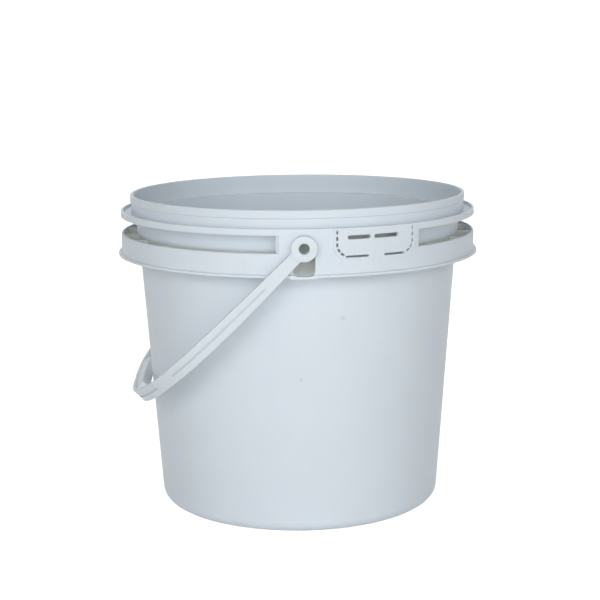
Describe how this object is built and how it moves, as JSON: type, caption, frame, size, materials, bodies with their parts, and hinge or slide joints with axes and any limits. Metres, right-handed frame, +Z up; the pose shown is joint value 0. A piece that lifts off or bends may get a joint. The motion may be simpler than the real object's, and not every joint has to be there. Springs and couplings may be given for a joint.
{
  "type": "plastic pail with swing handle",
  "caption": "Round tapered moulded pail with a ribbed rim band, a tear-off tab and a snap-in swing handle.",
  "frame": {"origin": "centre of the foot ring, on the surface that the pail stands on", "axes": "+Z up through the mouth, Y along the handle's pivot axis with the tear-off tab on the -Y side"},
  "size_m": [0.23, 0.236, 0.1996],
  "materials": {
    "body_plastic": "smooth moulded white polypropylene, soft gloss",
    "handle_plastic": "smooth moulded white polypropylene, soft gloss"
  },
  "bodies": {
    "pail": {"pail_body": "body_plastic"},
    "handle": {"handle": "handle_plastic"}
  },
  "joints": [
    {"name": "handle_swing", "type": "hinge", "parent": "pail", "child": "handle", "pos_m": [0, 0, 0.1787], "axis": [0, 1, 0], "range_deg": [0, 270]}
  ]
}
